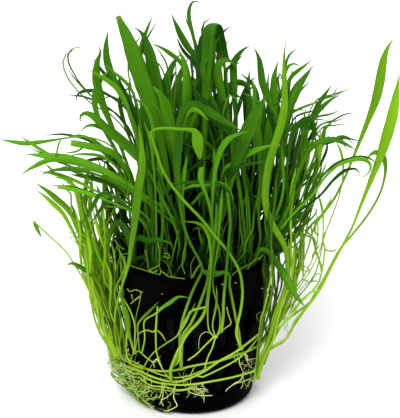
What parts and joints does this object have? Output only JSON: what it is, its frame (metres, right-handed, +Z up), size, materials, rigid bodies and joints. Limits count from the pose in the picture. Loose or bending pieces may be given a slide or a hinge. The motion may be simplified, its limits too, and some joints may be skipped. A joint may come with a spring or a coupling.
{
  "type": "potted lilaeopsis novae-zelandiae",
  "caption": "Grass-like aquarium plant with long narrow leaves, crowded in a small black slotted net pot with runners and roots round its foot.",
  "frame": {"origin": "centre of the pot's foot, in the plane it stands on", "axes": "+Z up out of the pot, the side the picture shows towards -Y, +X to its right"},
  "size_m": [0.1193, 0.0917, 0.1243],
  "materials": {
    "pot": "satin black moulded plastic",
    "medium": "damp fibrous peat with pale grains",
    "leaf": "smooth soft satin leaf, finely veined lengthwise",
    "runner": "smooth pale green stem",
    "roots": "matted fine pale roots"
  },
  "bodies": {
    "root": {"growing_medium": "medium", "plantlet_01": "leaf", "plantlet_02": "leaf", "plantlet_03": "leaf", "plantlet_04": "leaf", "plantlet_05": "leaf", "plantlet_06": "leaf", "plantlet_07": "leaf", "plantlet_08": "leaf", "plantlet_09": "leaf", "plantlet_10": "leaf", "plantlet_11": "leaf", "plantlet_12": "leaf", "plantlet_13": "leaf", "plantlet_14": "leaf", "plantlet_15": "leaf", "plantlet_16": "leaf", "plantlet_17": "leaf", "plantlet_18": "leaf", "plantlet_19": "leaf", "plantlet_20": "leaf", "plantlet_21": "leaf", "plantlet_22": "leaf", "plantlet_23": "leaf", "plantlet_24": "leaf", "plantlet_25": "leaf", "plantlet_26": "leaf", "plantlet_27": "leaf", "plantlet_28": "leaf", "plantlet_29": "leaf", "plantlet_30": "leaf", "plantlet_31": "leaf", "plantlet_32": "leaf", "plantlet_33": "leaf", "plantlet_34": "leaf", "plantlet_35": "leaf", "plantlet_36": "leaf", "plantlet_37": "leaf", "plantlet_38": "leaf", "plantlet_39": "leaf", "plantlet_40": "leaf", "plantlet_41": "leaf", "plantlet_42": "leaf", "pot": "pot", "root_mat": "roots", "runner_lower": "runner", "runner_upper": "runner", "side_left_1": "leaf", "side_left_2": "leaf", "side_left_3": "leaf", "side_right_1": "leaf", "side_right_2": "leaf", "side_right_3": "leaf"}
  },
  "joints": []
}
